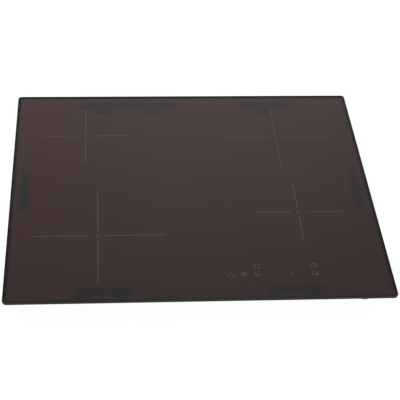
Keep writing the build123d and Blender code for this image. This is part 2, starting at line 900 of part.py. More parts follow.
outlet_reach = module_x - module_width / 2 - blower_module_gap
cavity_bottom_z = floor_z + blower_wall
cavity_top_z = low_ceiling_z - blower_wall
impeller_bottom_z = cavity_bottom_z + impeller_running_gap
impeller_top_z = cavity_top_z - impeller_running_gap
blade_inner_radius = impeller_radius - blade_depth
cup_bore_radius = hub_radius - hub_wall
cup_floor_z = impeller_bottom_z + hub_wall


def blower_plane(z):
    """Level plane on the blower's axis."""
    return Plane(origin=(blower_x, blower_y, z))


with BuildSketch() as scroll:
    with BuildLine():
        Line((outlet_reach, 0), (scroll_start_radius, 0))
        CenterArc((-scroll_growth, 0), scroll_end_radius, 0, 90)
        Line((-scroll_growth, scroll_end_radius), (-outlet_reach, scroll_end_radius))
        Line((-outlet_reach, scroll_end_radius), (-outlet_reach, 0))
        Line((-outlet_reach, 0), (-scroll_start_radius, 0))
        CenterArc((scroll_growth, 0), scroll_end_radius, 180, 90)
        Line((scroll_growth, -scroll_end_radius), (outlet_reach, -scroll_end_radius))
        Line((outlet_reach, -scroll_end_radius), (outlet_reach, 0))
    make_face()

with BuildPart() as blower_housing:
    with BuildSketch(blower_plane(floor_z)):
        add(scroll.sketch)
        offset(amount=blower_wall, kind=Kind.INTERSECTION)
    extrude(amount=low_ceiling_z - floor_z)
    with BuildSketch(blower_plane(cavity_bottom_z)):
        add(scroll.sketch)
        for end in (-1, 1):
            with Locations((end * outlet_reach, -end * scroll_end_radius / 2)):
                Rectangle(2 * blower_wall, scroll_end_radius)
    extrude(amount=cavity_top_z - cavity_bottom_z, mode=Mode.SUBTRACT)
    with BuildSketch(blower_plane(floor_z)):
        Circle(blower_inlet_radius)
    extrude(amount=blower_wall, mode=Mode.SUBTRACT)
    # bearing tube, hanging from the top into the impeller's cup
    with BuildSketch(blower_plane(cavity_top_z)):
        Circle(bearing_tube_radius)
        Circle(shaft_radius + shaft_fit, mode=Mode.SUBTRACT)
    extrude(amount=-(cavity_top_z - cup_floor_z - bearing_tube_gap))
save(blower_housing.part, "blower_housing")

with BuildPart() as blower_stator:
    with BuildSketch(blower_plane(cavity_top_z)):
        RegularPolygon(stator_radius, 2 * stator_poles)
        with PolarLocations(stator_radius, stator_poles):
            Rectangle(2 * stator_slot_depth, stator_slot_width, mode=Mode.SUBTRACT)
        Circle(bearing_tube_radius, mode=Mode.SUBTRACT)
    extrude(amount=-stator_height)
save(blower_stator.part, "blower_stator")

# one blade: it starts outwards from the inner circle and leans into the rotation, which is
# anticlockwise seen from above. Its knee and tip are given as shares of its depth.
with BuildSketch() as blade:
    with BuildLine():
        Polyline(
            (blade_inner_radius + blade_thickness / 2, 0),
            (blade_inner_radius + blade_knee_out * blade_depth, blade_knee_lean * blade_depth),
            (blade_inner_radius + blade_tip_out * blade_depth, blade_tip_lean * blade_depth),
        )
    trace(line_width=blade_thickness)

with BuildPart() as blower_impeller:
    with BuildSketch(blower_plane(impeller_bottom_z)):
        with PolarLocations(0, blade_count):
            add(blade.sketch)
    extrude(amount=impeller_top_z - impeller_bottom_z - impeller_disc)
    with BuildSketch(blower_plane(impeller_top_z)):
        Circle(impeller_radius)
        Circle(cup_bore_radius, mode=Mode.SUBTRACT)
    extrude(amount=-impeller_disc)
    # cup around the stator, with the shaft standing on its floor
    with BuildSketch(blower_plane(impeller_bottom_z)):
        Circle(hub_radius)
    extrude(amount=impeller_top_z - impeller_bottom_z)
    with BuildSketch(blower_plane(cup_floor_z)):
        Circle(cup_bore_radius)
    extrude(amount=impeller_top_z - cup_floor_z, mode=Mode.SUBTRACT)
    with BuildSketch(blower_plane(cup_floor_z)):
        Circle(shaft_radius)
    extrude(amount=cavity_top_z - cup_floor_z - shaft_end_gap)
save(blower_impeller.part, "blower_impeller")


# ---------------------------------------------------------------------------
# Mains filter
# ---------------------------------------------------------------------------

with BuildPart() as filter_board:
    with BuildSketch(Plane.XY.offset(filter_board_top_z - board_thickness)):
        with Locations((filter_x, filter_y)):
            Rectangle(filter_board_width, filter_board_depth)
    extrude(amount=board_thickness)
save(filter_board.part, "filter_board")

# the choke has a square core frame with a winding on each of two legs
choke_leg_offset = (choke_core_size - choke_core_leg) / 2
choke_middle_z = filter_board_top_z + choke_height / 2

with BuildPart() as filter_choke:
    with BuildSketch(Plane.XY.offset(choke_middle_z - choke_core_leg / 2)):
        with Locations((filter_x, filter_y + choke_from_middle)):
            Rectangle(choke_core_size, choke_core_size)
            Rectangle(
                choke_core_size - 2 * choke_core_leg,
                choke_core_size - 2 * choke_core_leg,
                mode=Mode.SUBTRACT,
            )
    extrude(amount=choke_core_leg)
    with BuildSketch(Plane.XY.offset(filter_board_top_z)):
        with Locations((filter_x, filter_y + choke_from_middle)):
            with GridLocations(2 * choke_leg_offset, 1, 2, 1):
                Rectangle(choke_winding_width, choke_core_size - 2 * choke_core_leg)
    extrude(amount=choke_height)
save(filter_choke.part, "filter_choke")

with BuildPart() as filter_capacitors:
    with BuildSketch(Plane.XY.offset(filter_board_top_z)):
        with Locations((filter_x, filter_y - filter_capacitor_from_middle)):
            with GridLocations(capacitor_pitch_x, 1, filter_capacitor_count, 1):
                Rectangle(capacitor_length, capacitor_width)
    extrude(amount=capacitor_height)
save(filter_capacitors.part, "filter_capacitors")


# ---------------------------------------------------------------------------
# Touch controls under the front right of the glass
# ---------------------------------------------------------------------------

control_x = glass_width / 2 - control_from_right
control_y = -glass_depth / 2 + control_from_front
control_board_z = plate_top_z + control_carrier_wall + control_ledge_height
control_board_top_z = control_board_z + board_thickness

with BuildPart() as control_carrier:
    with BuildSketch(Plane.XY.offset(plate_top_z)):
        with Locations((control_x, control_y)):
            Rectangle(control_carrier_width, control_carrier_depth)
    extrude(amount=glass_z - plate_top_z)
    chamfer(edges().filter_by(Axis.Z), control_carrier_corner)
    with BuildSketch(Plane.XY.offset(control_board_z)):
        with Locations((control_x, control_y)):
            Rectangle(
                control_carrier_width - 2 * control_carrier_wall,
                control_carrier_depth - 2 * control_carrier_wall,
            )
    extrude(amount=glass_z - control_board_z, mode=Mode.SUBTRACT)
    with BuildSketch(Plane.XY.offset(plate_top_z + control_carrier_wall)):
        with Locations((control_x, control_y)):
            Rectangle(
                control_carrier_width - 2 * control_carrier_wall - 2 * control_ledge,
                control_carrier_depth - 2 * control_carrier_wall - 2 * control_ledge,
            )
    extrude(amount=control_ledge_height, mode=Mode.SUBTRACT)
save(control_carrier.part, "control_carrier")

with BuildPart() as control_board:
    with BuildSketch(Plane.XY.offset(control_board_z)):
        with Locations((control_x, control_y)):
            Rectangle(
                control_carrier_width - 2 * control_carrier_wall - 2 * control_board_fit,
                control_carrier_depth - 2 * control_carrier_wall - 2 * control_board_fit,
            )
    extrude(amount=board_thickness)
save(control_board.part, "control_board")

key_places = [(control_x + x, control_y + key_row_front) for x in front_key_x]
key_places += [(control_x + x, control_y + key_row_back) for x in back_key_x]

with BuildPart() as touch_pads:
    with BuildSketch(Plane.XY.offset(control_board_top_z)):
        with Locations(*key_places):
            Rectangle(touch_pad_size, touch_pad_size)
    extrude(amount=glass_z - control_board_top_z - touch_pad_gap)
save(touch_pads.part, "touch_pads")

display_places = [(control_x + x, control_y + key_row_back) for x in display_x]

with BuildPart() as level_displays:
    with BuildSketch(Plane.XY.offset(control_board_top_z)):
        with Locations(*display_places):
            Rectangle(display_width, display_depth)
    extrude(amount=glass_z - control_board_top_z - display_gap)
save(level_displays.part, "level_displays")


# ---------------------------------------------------------------------------
# Terminal box: a moulded box behind the back wall's opening, with a hinged cover over the
# terminals and a fixed panel with the cable hole beside it
# ---------------------------------------------------------------------------

box_bottom_z = opening_bottom_z + terminal_box_fit
box_top_z = low_ceiling_z - terminal_box_fit
box_front_y = inner_back_y - terminal_box_depth
box_left_x = terminal_box_left + terminal_box_fit
box_right_x = terminal_box_left + terminal_box_width - terminal_box_fit
bay_bottom_z = box_bottom_z + terminal_box_wall
bay_top_z = box_top_z - terminal_box_wall
bay_front_y = box_front_y + terminal_box_wall
bay_left_x = box_left_x + terminal_box_wall
bay_right_x = box_right_x - 2 * terminal_box_wall - cable_bay_width
cable_bay_left_x = bay_right_x + terminal_box_wall
cable_bay_right_x = box_right_x - terminal_box_wall
cable_x = (cable_bay_left_x + cable_bay_right_x) / 2
cable_z = (bay_bottom_z + bay_top_z) / 2
divider_front_y = tray_back_y - terminal_divider_depth
bay_middle_x = (bay_left_x + bay_right_x) / 2
bay_width = bay_right_x - bay_left_x
hinge_y = tray_back_y - cover_barrel_radius
hinge_z = bay_bottom_z + cover_gap + cover_barrel_radius


def block(x_range, y_range, z_range, mode=Mode.ADD):
    """Box between two corners, given as a range on each axis."""
    with Locations(((x_range[0] + x_range[1]) / 2, (y_range[0] + y_range[1]) / 2, z_range[0])):
        Box(
            x_range[1] - x_range[0],
            y_range[1] - y_range[0],
            z_range[1] - z_range[0],
            align=(Align.CENTER, Align.CENTER, Align.MIN),
            mode=mode,
        )


with BuildPart() as terminal_box:
    block((box_left_x, box_right_x), (box_front_y, tray_back_y), (box_bottom_z, box_top_z))
    block(
        (box_left_x, box_right_x),
        (box_front_y, inner_back_y - tray_fold),
        (floor_z, box_bottom_z),
    )
    # one room behind both bays, then the two bays on either side of the divider
    room_z = (bay_bottom_z, bay_top_z)
    block((bay_left_x, cable_bay_right_x), (bay_front_y, divider_front_y), room_z, Mode.SUBTRACT)
    block((bay_left_x, bay_right_x), (divider_front_y, tray_back_y), room_z, Mode.SUBTRACT)
    block(
        (cable_bay_left_x, cable_bay_right_x),
        (divider_front_y, tray_back_y - terminal_box_wall),
        room_z,
        Mode.SUBTRACT,
    )
    with BuildSketch(wall_plane((cable_x, tray_back_y), (0, 1), cable_z)):
        Circle(cable_hole_radius)
    extrude(amount=-terminal_box_wall, mode=Mode.SUBTRACT)
    with BuildSketch(section_plane((bay_middle_x, hinge_y), (0, 1), hinge_z)):
        Circle(cover_pin_radius + cover_pin_fit)
    extrude(
        amount=bay_width / 2 + cover_pin_length - cover_gap + cover_pin_fit,
        both=True,
        mode=Mode.SUBTRACT,
    )
save(terminal_box.part, "terminal_box")

with BuildPart() as terminal_cover:
    cover_height = bay_top_z - cover_gap - hinge_z
    with BuildSketch(section_plane((bay_middle_x, hinge_y), (0, 1), hinge_z)):
        Circle(cover_barrel_radius)
        with Locations((cover_barrel_radius - cover_thickness / 2, cover_height / 2)):
            Rectangle(cover_thickness, cover_height)
    extrude(amount=bay_width / 2 - cover_gap, both=True)
    with BuildSketch(section_plane((bay_middle_x, hinge_y), (0, 1), hinge_z)):
        Circle(cover_pin_radius)
    extrude(amount=bay_width / 2 - cover_gap + cover_pin_length, both=True)
save(terminal_cover.part, "terminal_cover")

block_width = terminal_poles * terminal_pitch + terminal_rib
block_back_y = bay_front_y + terminal_block_depth
recess_z = bay_bottom_z + terminal_block_height / 2

with BuildPart() as terminal_block:
    block(
        (bay_middle_x - block_width / 2, bay_middle_x + block_width / 2),
        (bay_front_y, block_back_y),
        (bay_bottom_z, bay_bottom_z + terminal_block_height),
    )
    with BuildSketch(wall_plane((bay_middle_x, block_back_y), (0, 1), recess_z)):
        with GridLocations(terminal_pitch, 1, terminal_poles, 1):
            Rectangle(terminal_pitch - terminal_rib, terminal_recess_height)
    extrude(amount=-terminal_recess_depth, mode=Mode.SUBTRACT)
save(terminal_block.part, "terminal_block")

with BuildPart() as terminal_screws:
    recess_floor_y = block_back_y - terminal_recess_depth
    with BuildSketch(wall_plane((bay_middle_x, recess_floor_y), (0, 1), recess_z)):
        with GridLocations(terminal_pitch, 1, terminal_poles, 1):
            RegularPolygon(terminal_screw_radius, 6)
    extrude(amount=terminal_screw_head)
save(terminal_screws.part, "terminal_screws")
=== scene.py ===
"""Built-in induction hob: finishes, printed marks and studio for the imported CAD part.

Everything is in metres in the part's own frame: +X right, +Y back, +Z up, the origin at the middle
of the underside. Sizes named *_mm below are millimetres and are scaled where they are used.
"""

import math

import bmesh
import bpy
from mathutils import Matrix, Vector


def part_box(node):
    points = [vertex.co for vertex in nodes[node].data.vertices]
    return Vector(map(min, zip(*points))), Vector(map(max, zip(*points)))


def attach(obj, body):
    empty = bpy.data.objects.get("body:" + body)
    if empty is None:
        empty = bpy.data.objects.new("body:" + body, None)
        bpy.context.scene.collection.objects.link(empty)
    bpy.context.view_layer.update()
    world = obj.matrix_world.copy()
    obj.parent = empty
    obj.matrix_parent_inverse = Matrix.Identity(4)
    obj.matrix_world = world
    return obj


MM = 0.001
X_AXIS, Y_AXIS, Z_AXIS = range(3)

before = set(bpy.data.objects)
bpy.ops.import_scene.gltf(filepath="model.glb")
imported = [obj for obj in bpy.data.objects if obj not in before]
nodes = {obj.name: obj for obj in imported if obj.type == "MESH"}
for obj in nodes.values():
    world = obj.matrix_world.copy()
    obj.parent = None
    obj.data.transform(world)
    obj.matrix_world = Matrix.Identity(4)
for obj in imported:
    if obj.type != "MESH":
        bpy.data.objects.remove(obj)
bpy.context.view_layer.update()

glass_low, glass_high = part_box("glass_plate")
glass_middle = (glass_low + glass_high) / 2
glass_half = (glass_high - glass_low) / 2
glass_top_z = glass_high.z
zone_names = ("rear_left", "rear_right", "front_left", "front_right")


# ---------------------------------------------------------------------------
# Colours, nodes and materials
# ---------------------------------------------------------------------------


def from_hex(code):
    """An sRGB hex colour as the linear RGBA that a socket takes."""
    shares = [int(code[start : start + 2], 16) / 255 for start in (1, 3, 5)]
    linear = [s / 12.92 if s <= 0.04045 else ((s + 0.055) / 1.055) ** 2.4 for s in shares]
    return (*linear, 1.0)


def darkened(colour, share):
    """A linear colour with its light cut to a share of it."""
    return (*[share * part for part in colour[:3]], 1.0)


def add_node(tree, kind, sockets, **properties):
    """Add a node, set its properties, and set each named or numbered socket or link it to an output."""
    node = tree.nodes.new(kind)
    for name, value in properties.items():
        setattr(node, name, value)
    for key, value in sockets.items():
        if isinstance(value, bpy.types.NodeSocket):
            tree.links.new(value, node.inputs[key])
        else:
            node.inputs[key].default_value = value
    return node


def start_material(name, **constants):
    """A material with one Principled shader: its tree, the shader, and the Object coordinates."""
    material = bpy.data.materials.new(name)
    material.use_nodes = True
    tree = material.node_tree
    shader = tree.nodes["Principled BSDF"]
    for key, value in constants.items():
        shader.inputs[key.replace("_", " ")].default_value = value
    place = add_node(tree, "ShaderNodeTexCoord", {}).outputs["Object"]
    return material, tree, shader, place


def per_metre(size_mm):
    """Texture scale that makes one cell or grain as large as a size in millimetres."""
    return 1 / (size_mm * MM)


def moulded_plastic(name, colour, grain_mm, roughness, relief_mm=0.02):
    """Moulded plastic or pressed ceramic: an even colour, the mould's eroded grain, faint flow clouds.

    The real grain is about 0.1 mm. It is drawn as coarse as grain_mm, so that it shows.
    """
    cloud_mm = 26
    material, tree, shader, place = start_material(name, IOR=1.5)
    clouds = add_node(
        tree, "ShaderNodeTexNoise", {"Vector": place, "Scale": per_metre(cloud_mm), "Detail": 2.0},
    )
    shade = add_node(
        tree, "ShaderNodeMapRange",
        {"Value": clouds.outputs["Fac"], "From Min": 0.3, "From Max": 0.7, "To Min": 0.88, "To Max": 1.1},
    )
    tint = add_node(
        tree, "ShaderNodeVectorMath", {0: from_hex(colour)[:3], "Scale": shade.outputs["Result"]},
        operation="SCALE",
    )
    grain = add_node(
        tree, "ShaderNodeTexNoise", {"Vector": place, "Scale": per_metre(grain_mm), "Detail": 4.0},
    )
    gloss = add_node(
        tree, "ShaderNodeMapRange",
        {"Value": grain.outputs["Fac"], "To Min": roughness - 0.08, "To Max": roughness + 0.1},
    )
    bump = add_node(
        tree, "ShaderNodeBump",
        {"Height": grain.outputs["Fac"], "Strength": 0.5, "Distance": relief_mm * MM},
    )
    tree.links.new(tint.outputs["Vector"], shader.inputs["Base Color"])
    tree.links.new(gloss.outputs["Result"], shader.inputs["Roughness"])
    tree.links.new(bump.outputs["Normal"], shader.inputs["Normal"])
    return material


def drawn_metal(name, colour, grain_axis, line_mm, roughness):
    """Rolled, drawn, extruded or turned bare metal: fine lines along one axis that stretch the gloss.

    The real lines are a few hundredths of a millimetre wide. They are drawn as coarse as line_mm, so
    that they show.
    """
    length_to_width = 50
    stain_mm = 35
    relief_mm = 0.02
    material, tree, shader, place = start_material(name, Metallic=1.0)
    stretch = [1.0, 1.0, 1.0]
    stretch[grain_axis] = 1 / length_to_width
    along = add_node(tree, "ShaderNodeMapping", {"Vector": place, "Scale": stretch})
    lines = add_node(
        tree, "ShaderNodeTexNoise",
        {"Vector": along.outputs["Vector"], "Scale": per_metre(line_mm), "Detail": 5.0, "Roughness": 0.6},
    )
    stains = add_node(
        tree, "ShaderNodeTexNoise", {"Vector": place, "Scale": per_metre(stain_mm), "Detail": 3.0},
    )
    tint = add_node(
        tree, "ShaderNodeMixRGB",
        {
            "Fac": stains.outputs["Fac"],
            "Color1": from_hex(colour),
            "Color2": darkened(from_hex(colour), 0.82),
        },
    )
    gloss = add_node(
        tree, "ShaderNodeMapRange",
        {
            "Value": lines.outputs["Fac"], "From Min": 0.3, "From Max": 0.7,
            "To Min": roughness - 0.1, "To Max": roughness + 0.12,
        },
    )
    bump = add_node(
        tree, "ShaderNodeBump",
        {"Height": lines.outputs["Fac"], "Strength": 0.35, "Distance": relief_mm * MM},
    )
    tree.links.new(tint.outputs["Color"], shader.inputs["Base Color"])
    tree.links.new(gloss.outputs["Result"], shader.inputs["Roughness"])
    tree.links.new(bump.outputs["Normal"], shader.inputs["Normal"])
    return material


def galvanised_steel(name, spangle_mm):
    """Hot-dip galvanised sheet: flat zinc crystals, each with its own grey and gloss, dulled in clouds."""
    border_mm = 0.7 * spangle_mm
    cloud_mm = 60
    relief_mm = 0.4
    material, tree, shader, place = start_material(name, Metallic=1.0)
    ragged = add_node(
        tree, "ShaderNodeTexNoise", {"Vector": place, "Scale": per_metre(border_mm), "Detail": 2.0},
    )
    nudge = add_node(
        tree, "ShaderNodeVectorMath", {0: ragged.outputs["Color"], "Scale": spangle_mm * MM},
        operation="SCALE",
    )
    shifted = add_node(
        tree, "ShaderNodeVectorMath", {0: place, 1: nudge.outputs["Vector"]}, operation="ADD",
    )
    crystals = add_node(
        tree, "ShaderNodeTexVoronoi", {"Vector": shifted.outputs["Vector"], "Scale": per_metre(spangle_mm)},
    )
    crystal = add_node(tree, "ShaderNodeSeparateColor", {"Color": crystals.outputs["Color"]})
    dulled = add_node(
        tree, "ShaderNodeTexNoise", {"Vector": place, "Scale": per_metre(cloud_mm), "Detail": 4.0},
    )
    bright = add_node(
        tree, "ShaderNodeMixRGB",
        {"Fac": crystal.outputs["Red"], "Color1": from_hex("#9da1a4"), "Color2": from_hex("#b9bcbe")},
    )
    tint = add_node(
        tree, "ShaderNodeMixRGB",
        {"Fac": dulled.outputs["Fac"], "Color1": bright.outputs["Color"], "Color2": from_hex("#a6a9ab")},
    )
    gloss = add_node(
        tree, "ShaderNodeMapRange", {"Value": crystal.outputs["Green"], "To Min": 0.3, "To Max": 0.46},
    )
    bump = add_node(
        tree, "ShaderNodeBump",
        {"Height": dulled.outputs["Fac"], "Strength": 0.25, "Distance": relief_mm * MM},
    )
    tree.links.new(tint.outputs["Color"], shader.inputs["Base Color"])
    tree.links.new(gloss.outputs["Result"], shader.inputs["Roughness"])
    tree.links.new(bump.outputs["Normal"], shader.inputs["Normal"])
    return material


def porous_foam(name, colour, cell_mm):
    """Closed-cell foam cut to a strip: a dull skin pitted by small round cells, each drawn darker towards
    its middle as painted shade in the pit.
    """
    relief_mm = 0.15
    material, tree, shader, place = start_material(name, IOR=1.45, Roughness=0.9)
    cells = add_node(tree, "ShaderNodeTexVoronoi", {"Vector": place, "Scale": per_metre(cell_mm)})
    # painted shade: the colour darkens towards the middle of each cell, where the bump makes the pit deepest
    tint = add_node(
        tree, "ShaderNodeMixRGB",
        {
            "Fac": cells.outputs["Distance"],
            "Color1": darkened(from_hex(colour), 0.55),
            "Color2": from_hex(colour),
        },
    )
    bump = add_node(
        tree, "ShaderNodeBump",
        {"Height": cells.outputs["Distance"], "Strength": 0.7, "Distance": relief_mm * MM},
    )
    tree.links.new(tint.outputs["Color"], shader.inputs["Base Color"])
    tree.links.new(bump.outputs["Normal"], shader.inputs["Normal"])
    return material


# places under the glass where a bracket foot and its black silicone stop the red glow, each as
# offsets from the bracket's own box in millimetres: left, right, front, back
foot_patches = {
    "bracket_rear_left": [(0, 0, 11, -1), (27, -115, -3, -19), (114, -29, -3, -19)],
    "bracket_rear_right": [(0, -2, -8, 1), (26, -37, -20, -23)],
    "bracket_side_left": [(-1, 0, 36, 0), (1, 2, 6, -50), (-2, -5, -2, -84)],
    "bracket_side_right": [(-3, -2, 0, 0)],
    "bracket_front_left": [(0, 1, 6, -7), (2, -62, -4, -10), (59, -8, -8, -10)],
    "bracket_front_right": [(0, -1, 6, -7), (0, -70, -4, -10), (55, -8, -4, -10)],
}


def rim_fade(tree, place, side_mm, front_mm, rear_mm, width_mm):
    """0 at the edge of the glass, rising to 1 across a band that starts this far in from each side."""
    shift = Vector((0.0, (rear_mm - front_mm) / 2 * MM, 0.0))
    inset = Vector((side_mm * MM, (front_mm + rear_mm) / 2 * MM, 0.0))
    from_middle = add_node(tree, "ShaderNodeVectorMath", {0: place, 1: shift}, operation="ADD")
    away = add_node(tree, "ShaderNodeVectorMath", {0: from_middle.outputs["Vector"]}, operation="ABSOLUTE")
    inward = add_node(
        tree, "ShaderNodeVectorMath", {0: glass_half - inset, 1: away.outputs["Vector"]},
        operation="SUBTRACT",
    )
    split = add_node(tree, "ShaderNodeSeparateXYZ", {0: inward.outputs["Vector"]})
    nearest = add_node(
        tree, "ShaderNodeMath", {0: split.outputs["X"], 1: split.outputs["Y"]}, operation="MINIMUM",
    )
    return add_node(
        tree, "ShaderNodeMapRange", {"Value": nearest.outputs["Value"], "From Max": width_mm * MM},
        interpolation_type="SMOOTHSTEP",
    ).outputs["Result"]


def soft_patch(tree, place, lowest, highest, blur_mm):
    """1 inside a rectangle on the glass, falling to 0 across its blurred border."""
    offset = add_node(
        tree, "ShaderNodeVectorMath", {0: place, 1: (lowest + highest) / 2}, operation="SUBTRACT",
    )
    away = add_node(tree, "ShaderNodeVectorMath", {0: offset.outputs["Vector"]}, operation="ABSOLUTE")
    past = add_node(
        tree, "ShaderNodeVectorMath", {0: away.outputs["Vector"], 1: (highest - lowest) / 2},
        operation="SUBTRACT",
    )
    split = add_node(tree, "ShaderNodeSeparateXYZ", {0: past.outputs["Vector"]})
    outside = add_node(
        tree, "ShaderNodeMath", {0: split.outputs["X"], 1: split.outputs["Y"]}, operation="MAXIMUM",
    )
    blur = blur_mm * MM
    return add_node(
        tree, "ShaderNodeMapRange",
        {"Value": outside.outputs["Value"], "From Min": blur / 2, "From Max": -blur / 2},
        interpolation_type="SMOOTHSTEP",
    ).outputs["Result"]


def glass_ceramic():
    """Polished black glass-ceramic, tinted in the mass: a mirror-smooth top over a deep red-brown glow.

    The glow is light that comes back from the mica and coils below. It dies over the black gasket at
    the rim and over the bonded bracket feet, which show as slate patches with soft, uneven borders.
    """
    border_lump_mm, border_wander_mm, border_blur_mm = 16, 9, 8
    glow_cloud_mm = 110
    material, tree, shader, place = start_material(
        "glass_ceramic_polished", Roughness=0.35, Specular_IOR_Level=0.0, Coat_IOR=1.42, Coat_Roughness=0.03,
    )

    # the borders of the patches wander about their true line, both ways alike
    noise_middle = (0.5, 0.5, 0.5)
    wander = (border_wander_mm * MM, border_wander_mm * MM, 0.0)
    uneven = add_node(
        tree, "ShaderNodeTexNoise", {"Vector": place, "Scale": per_metre(border_lump_mm), "Detail": 2.0},
    )
    centred = add_node(
        tree, "ShaderNodeVectorMath", {0: uneven.outputs["Color"], 1: noise_middle}, operation="SUBTRACT",
    )
    ragged = add_node(
        tree, "ShaderNodeVectorMath", {0: centred.outputs["Vector"], 1: wander, 2: place},
        operation="MULTIPLY_ADD",
    )
    covered = None
    for name, patches in foot_patches.items():
        low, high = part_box(name)
        for left, right, front, back in patches:
            lowest = Vector((low.x + left * MM, low.y + front * MM, 0.0))
            highest = Vector((high.x + right * MM, high.y + back * MM, 0.0))
            patch = soft_patch(tree, ragged.outputs["Vector"], lowest, highest, border_blur_mm)
            if covered is not None:
                patch = add_node(
                    tree, "ShaderNodeMath", {0: covered, 1: patch}, operation="MAXIMUM",
                ).outputs["Value"]
            covered = patch

    # the glow starts inside the black gasket, later at the rear; the polish softens to the ground edge
    inside_gasket = rim_fade(tree, place, side_mm=1, front_mm=-2, rear_mm=4, width_mm=9)
    polished = rim_fade(tree, place, side_mm=-3.5, front_mm=-11, rear_mm=-0.5, width_mm=13)
    gloss = add_node(tree, "ShaderNodeMapRange", {"Value": polished, "To Min": 0.15, "To Max": 1.0})

    # the glow is a little stronger towards the rear left, in wide clouds: it rises about the middle
    towards_rear_left = (-0.42, 0.91, 0.0)
    half_rise = 0.3
    cloud_share = 0.4
    rear_left = add_node(
        tree, "ShaderNodeVectorMath", {0: place, 1: towards_rear_left}, operation="DOT_PRODUCT",
    )
    stronger = add_node(
        tree, "ShaderNodeMapRange",
        {
            "Value": rear_left.outputs["Value"], "From Min": -half_rise, "From Max": half_rise,
            "To Min": -0.2, "To Max": 0.8,
        },
    )
    clouds = add_node(
        tree, "ShaderNodeTexNoise", {"Vector": place, "Scale": per_metre(glow_cloud_mm), "Detail": 2.0},
    )
    strength = add_node(
        tree, "ShaderNodeMath", {0: clouds.outputs["Fac"], 1: cloud_share, 2: stronger.outputs["Result"]},
        operation="MULTIPLY_ADD", use_clamp=True,
    )
    glow = add_node(
        tree, "ShaderNodeMixRGB",
        {"Fac": strength.outputs["Value"], "Color1": from_hex("#240b0b"), "Color2": from_hex("#2f1010")},
    )
    over_feet = add_node(
        tree, "ShaderNodeMixRGB",
        {"Fac": covered, "Color1": glow.outputs["Color"], "Color2": from_hex("#0e0506")},
    )
    tint = add_node(
        tree, "ShaderNodeMixRGB",
        {"Fac": inside_gasket, "Color1": from_hex("#060505"), "Color2": over_feet.outputs["Color"]},
    )
    tree.links.new(tint.outputs["Color"], shader.inputs["Base Color"])
    tree.links.new(gloss.outputs["Result"], shader.inputs["Coat Weight"])
    return material


def ceramic_enamel():
    """Screen-printed ceramic enamel, fired on: a thin warm-grey line, a little patchy in cover.

    Its matt grain is partly drowned in a glaze, so it takes some of the glass's mirror. The screen's
    mesh is about 0.1 mm, too fine to show, so the patches are drawn coarser.
    """
    speckle_mm = 1.2
    material, tree, shader, place = start_material(
        "ceramic_enamel_print", IOR=1.5, Coat_Weight=0.35, Coat_IOR=1.42, Coat_Roughness=0.03,
    )
    speckle = add_node(
        tree, "ShaderNodeTexNoise", {"Vector": place, "Scale": per_metre(speckle_mm), "Detail": 3.0},
    )
    tint = add_node(
        tree, "ShaderNodeMixRGB",
        {"Fac": speckle.outputs["Fac"], "Color1": from_hex("#362525"), "Color2": from_hex("#423131")},
    )
    gloss = add_node(
        tree, "ShaderNodeMapRange", {"Value": speckle.outputs["Fac"], "To Min": 0.62, "To Max": 0.85},
    )
    tree.links.new(tint.outputs["Color"], shader.inputs["Base Color"])
    tree.links.new(gloss.outputs["Result"], shader.inputs["Roughness"])
    return material


def silicone_adhesive():
    """Black heat-proof silicone, pressed flat in a bead: rubbery sheen, slightly wavy."""
    wave_mm = 4
    relief_mm = 0.2
    material, tree, shader, place = start_material("silicone_adhesive_black", IOR=1.41)
    waves = add_node(
        tree, "ShaderNodeTexNoise", {"Vector": place, "Scale": per_metre(wave_mm), "Detail": 2.0},
    )
    tint = add_node(
        tree, "ShaderNodeMixRGB",
        {"Fac": waves.outputs["Fac"], "Color1": from_hex("#17181a"), "Color2": from_hex("#222427")},
    )
    gloss = add_node(
        tree, "ShaderNodeMapRange", {"Value": waves.outputs["Fac"], "To Min": 0.35, "To Max": 0.55},
    )
    bump = add_node(
        tree, "ShaderNodeBump",
        {"Height": waves.outputs["Fac"], "Strength": 0.6, "Distance": relief_mm * MM},
    )
    tree.links.new(tint.outputs["Color"], shader.inputs["Base Color"])
    tree.links.new(gloss.outputs["Result"], shader.inputs["Roughness"])
    tree.links.new(bump.outputs["Normal"], shader.inputs["Normal"])
    return material


def mica_paper():
    """Mica paper, pressed and resin-bonded: overlapping silvery-brown flakes with a pearly gloss."""
    flake_mm = 3.5
    material, tree, shader, place = start_material("mica_paper_bonded", IOR=1.58)
    flakes = add_node(tree, "ShaderNodeTexVoronoi", {"Vector": place, "Scale": per_metre(flake_mm)})
    flake = add_node(tree, "ShaderNodeSeparateColor", {"Color": flakes.outputs["Color"]})
    tint = add_node(
        tree, "ShaderNodeMixRGB",
        {"Fac": flake.outputs["Red"], "Color1": from_hex("#8d7f6c"), "Color2": from_hex("#b5aa95")},
    )
    gloss = add_node(
        tree, "ShaderNodeMapRange", {"Value": flake.outputs["Green"], "To Min": 0.22, "To Max": 0.5},
    )
    tree.links.new(tint.outputs["Color"], shader.inputs["Base Color"])
    tree.links.new(gloss.outputs["Result"], shader.inputs["Roughness"])
    return material


